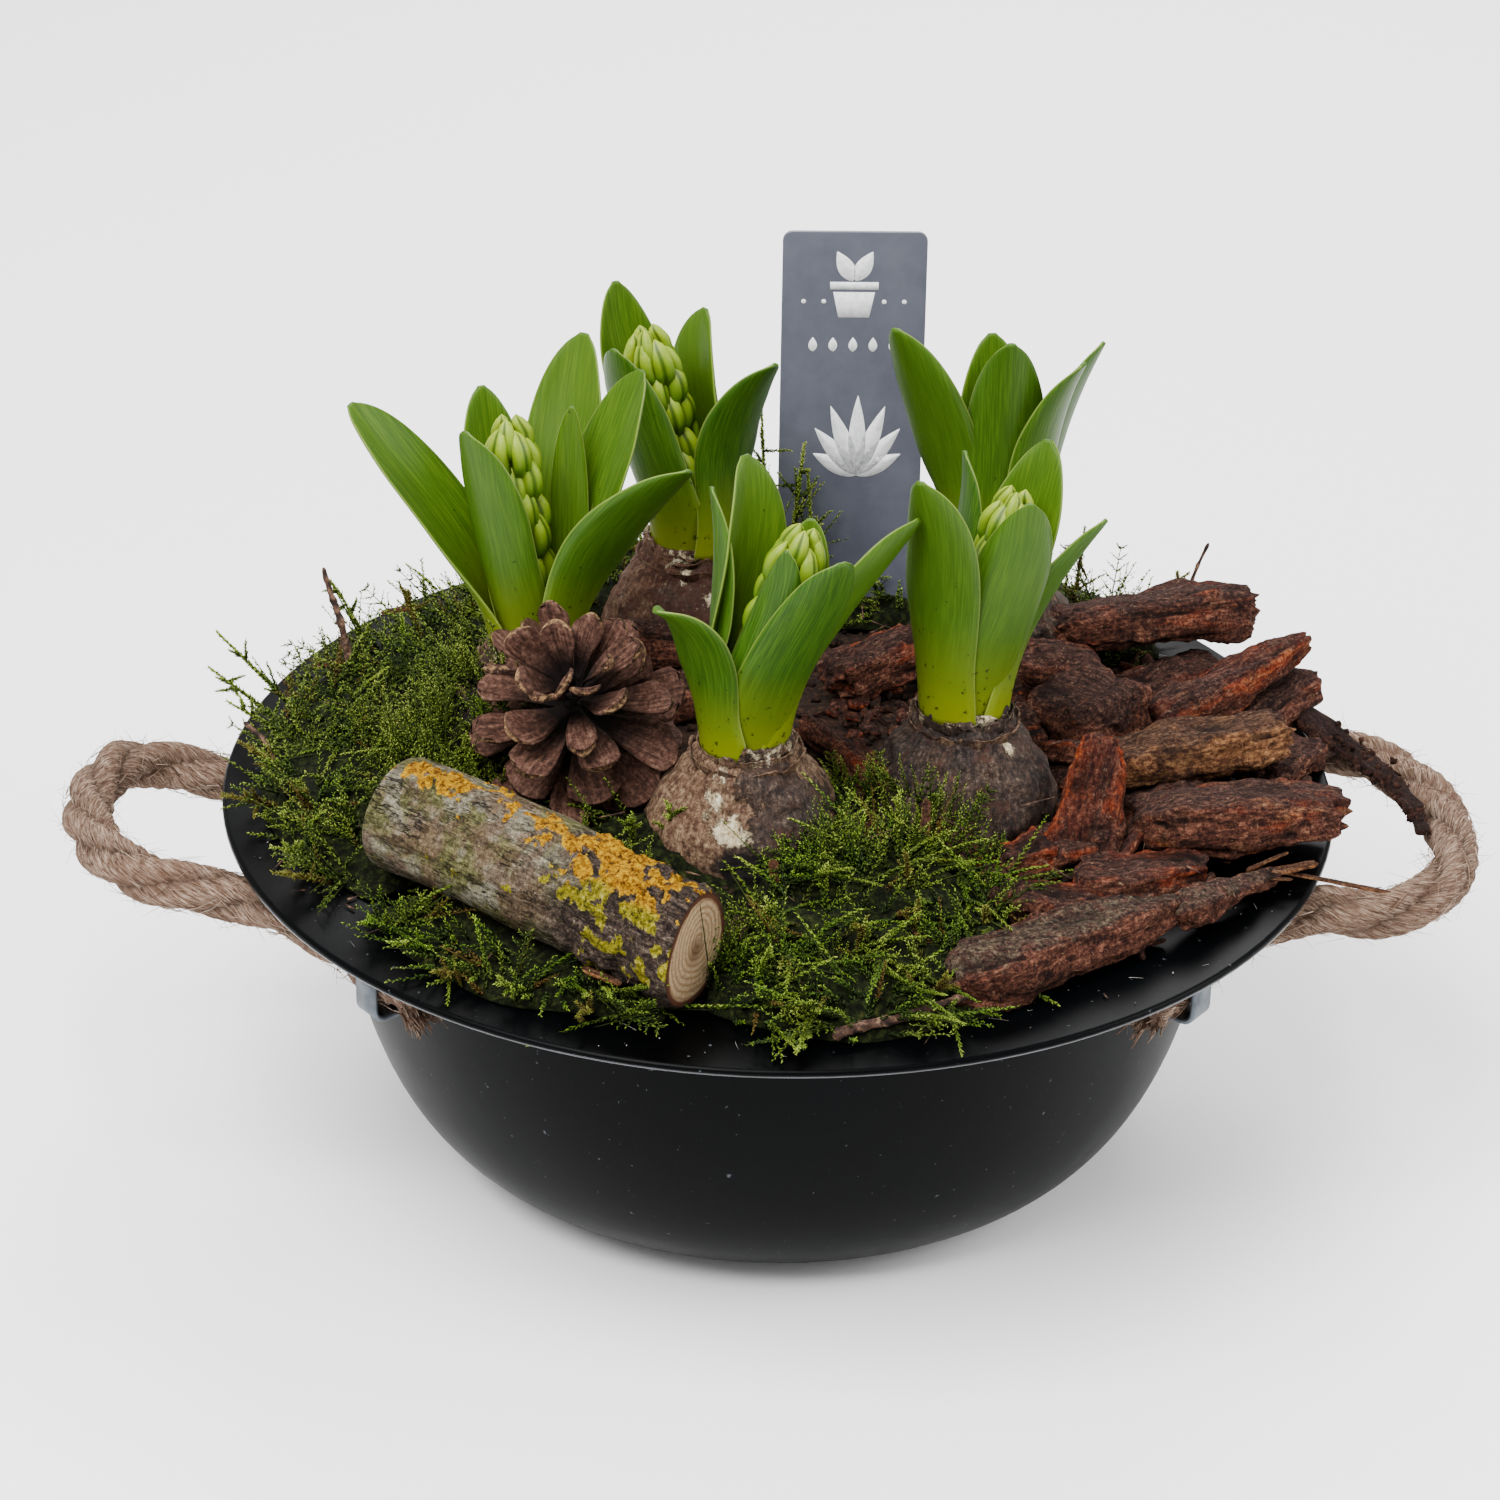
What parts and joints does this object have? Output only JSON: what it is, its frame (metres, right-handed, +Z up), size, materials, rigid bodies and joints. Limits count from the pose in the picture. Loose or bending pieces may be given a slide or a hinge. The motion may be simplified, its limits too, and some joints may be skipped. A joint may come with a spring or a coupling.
{
  "type": "planted hyacinth bowl",
  "caption": "Round black sheet steel bowl with rope handles, planted with sprouting hyacinth bulbs among moss, bark chips, a pine cone and a cut branch.",
  "frame": {"origin": "centre of the bowl's flat base, on the surface it stands on", "axes": "+Z up, +X along the line through both rope handles, +Y from the front with the cut branch towards the plant label at the back"},
  "size_m": [0.4082, 0.32, 0.2369],
  "materials": {
    "black_steel": "satin black powder coat",
    "clip_steel": "bare zinc-grey sheet",
    "jute_rope": "hairy natural jute",
    "bulb_skin": "dry papery skin over a firm bulb",
    "leaf": "smooth, slightly waxy leaf",
    "flower_bud": "smooth closed buds",
    "cone_scale": "dry woody scales",
    "branch_bark": "grey bark with lichen, sawn ends",
    "pine_bark": "rough broken bark",
    "twig_bark": "thin dry twig",
    "label_card": "satin coated card",
    "potting_soil": "dark fibrous fill",
    "moss": "feathery cushion"
  },
  "bodies": {
    "root": {"bowl": "black_steel", "rope_clip_right_front": "clip_steel", "rope_clip_right_back": "clip_steel", "rope_clip_left_back": "clip_steel", "rope_clip_left_front": "clip_steel", "rope_handle_left": "jute_rope", "rope_handle_right": "jute_rope", "bulb_a": "bulb_skin", "bulb_b": "bulb_skin", "bulb_c": "bulb_skin", "bulb_d": "bulb_skin", "bulb_e": "bulb_skin", "leaves_a": "leaf", "leaves_b": "leaf", "leaves_c": "leaf", "leaves_d": "leaf", "leaves_e": "leaf", "flower_spike_a": "flower_bud", "flower_spike_b": "flower_bud", "flower_spike_c": "flower_bud", "flower_spike_d": "flower_bud", "flower_spike_e": "flower_bud", "pine_cone": "cone_scale", "branch": "branch_bark", "bark_chip_01": "pine_bark", "bark_chip_02": "pine_bark", "bark_chip_03": "pine_bark", "bark_chip_04": "pine_bark", "bark_chip_05": "pine_bark", "bark_chip_06": "pine_bark", "bark_chip_07": "pine_bark", "bark_chip_08": "pine_bark", "bark_chip_09": "pine_bark", "bark_chip_10": "pine_bark", "bark_chip_11": "pine_bark", "bark_chip_12": "pine_bark", "bark_chip_13": "pine_bark", "bark_chip_14": "pine_bark", "bark_chip_15": "pine_bark", "bark_chip_16": "pine_bark", "bark_chip_17": "pine_bark", "bark_chip_18": "pine_bark", "bark_chip_19": "pine_bark", "bark_chip_20": "pine_bark", "twig_1": "twig_bark", "twig_2": "twig_bark", "twig_3": "twig_bark", "plant_label": "label_card", "soil": "potting_soil", "moss_left": "moss", "moss_front_left": "moss", "moss_front": "moss", "moss_middle": "moss", "moss_back_left": "moss", "moss_back": "moss", "moss_right": "moss"}
  },
  "joints": []
}
